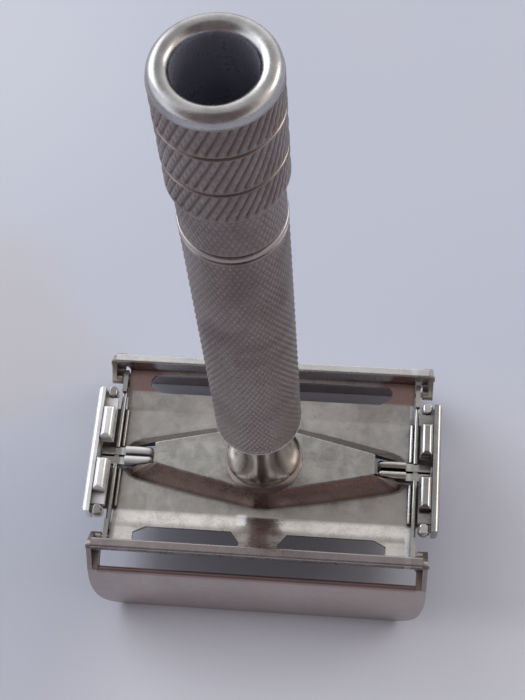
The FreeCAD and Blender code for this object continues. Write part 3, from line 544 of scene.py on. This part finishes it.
# painted light in front of the door, paling the door's cast shadow
back_in = floor_m.maths("MULTIPLY", floor_m.step(floor_m.maths("ABSOLUTE", floor_m.maths("SUBTRACT", sx.outputs[0], 16.0)), 44.0, 26.0),
                        floor_m.maths("MULTIPLY", floor_m.step(sx.outputs[1], -12.0, -18.0), floor_m.step(sx.outputs[1], -46.0, -26.0)))
c = floor_m.mix(floor_m.maths("MULTIPLY", back_in, 0.85), c, (0.77, 0.785, 0.89))
# painted light: paler towards the far left
far = floor_m.maths("MULTIPLY", floor_m.step(sx.outputs[0], 0.0, -50.0), floor_m.step(sx.outputs[1], 15.0, 75.0))
c = floor_m.mix(floor_m.maths("MULTIPLY", far, 0.8), c, (0.73, 0.76, 0.88))
# painted light beside the head on the right, paling its cast shadow
at_right = floor_m.maths("MULTIPLY", floor_m.step(sx.outputs[0], 20.0, 26.0), floor_m.step(floor_m.maths("ABSOLUTE", sx.outputs[1]), 26.0, 8.0))
c = floor_m.mix(floor_m.maths("MULTIPLY", at_right, 0.55), c, (0.74, 0.755, 0.86))
floor_m.link(c, floor_m.b.inputs["Base Color"])
floor_m.link(floor_m.remap(f2, 0.3, 0.7, 0.45, 0.62), floor_m.b.inputs["Roughness"])
floor_m.b.inputs["Specular IOR Level"].default_value = 0.3
bpy.ops.mesh.primitive_plane_add(size=3.0, location=(0, 0, 0))
floor = bpy.context.object
floor.name = "table_top"
floor.data.materials.append(floor_m.m)


def area(name, loc, target, size, power, color=(1, 1, 1), size_y=None):
    d = bpy.data.lights.new(name, "AREA")
    d.energy = power
    d.color = color
    d.shape = "RECTANGLE" if size_y else "SQUARE"
    d.size = size
    if size_y:
        d.size_y = size_y
    o = bpy.data.objects.new(name, d)
    o.location = loc
    o.rotation_euler = (Vector(target) - Vector(loc)).to_track_quat("-Z", "Y").to_euler()
    COLL.objects.link(o)
    return o


area("window_left", (-0.60, 0.50, 0.50), (0, 0, 0.03), 0.60, 2.5, (0.95, 0.97, 1.0), 0.60)
area("fill_right", (0.65, 0.30, 0.40), (0, 0, 0.03), 0.40, 1.1, (1.0, 0.96, 0.90), 0.30)

# a room: bright behind and at the sides, dark and warm in front and overhead
world = bpy.data.worlds.new("studio")
SCENE.world = world
world.use_nodes = True
wt = world.node_tree
wt.nodes.clear()


def wn(kind, **props):
    node = wt.nodes.new(kind)
    for k, val in props.items():
        setattr(node, k, val)
    return node


def wmath(op, x, y=None, clamp=False):
    node = wn("ShaderNodeMath", operation=op, use_clamp=clamp)
    for i, val in enumerate((x, y)):
        if val is None:
            continue
        if isinstance(val, (int, float)):
            node.inputs[i].default_value = val
        else:
            wt.links.new(val, node.inputs[i])
    return node.outputs[0]


def wdot(vec, d):
    node = wn("ShaderNodeVectorMath", operation="DOT_PRODUCT")
    node.inputs[1].default_value = Vector(d).normalized()
    wt.links.new(vec, node.inputs[0])
    return node.outputs["Value"]


def wstep(val, lo_v, hi_v):
    node = wn("ShaderNodeMapRange", interpolation_type="SMOOTHSTEP")
    node.inputs[1].default_value, node.inputs[2].default_value = lo_v, hi_v
    node.inputs[3].default_value, node.inputs[4].default_value = 0.0, 1.0
    wt.links.new(val, node.inputs[0])
    return node.outputs[0]


def wmix(fac, x, y):
    node = wn("ShaderNodeMix", data_type="RGBA")
    wt.links.new(fac, node.inputs[0])
    for sock, val in ((node.inputs[6], x), (node.inputs[7], y)):
        if isinstance(val, tuple):
            sock.default_value = (*val, 1)
        else:
            wt.links.new(val, sock)
    return node.outputs[2]


wc = wn("ShaderNodeTexCoord").outputs["Generated"]
sky = wmix(wstep(wdot(wc, (0, 0, 1)), 0.15, 0.95), (1.05, 1.03, 1.02), (0.50, 0.50, 0.50))
sky = wmix(wstep(wdot(wc, (-0.95, 0.15, 0.3)), 0.55, 0.95), sky, (1.25, 1.30, 1.38))
sky = wmix(wstep(wdot(wc, (0.95, 0.0, 0.25)), 0.55, 0.95), sky, (0.95, 0.88, 0.80))
front = wstep(wdot(wc, (0.05, -0.75, 0.66)), 0.40, 0.80)
sky = wmix(front, sky, (0.165, 0.135, 0.135))
wo = wn("ShaderNodeOutputWorld")
bg = wn("ShaderNodeBackground")
bg.inputs["Strength"].default_value = 1.05
wt.links.new(sky, bg.inputs["Color"])
wt.links.new(bg.outputs[0], wo.inputs[0])

SCENE.view_settings.view_transform = "Standard"
SCENE.view_settings.look = "None"
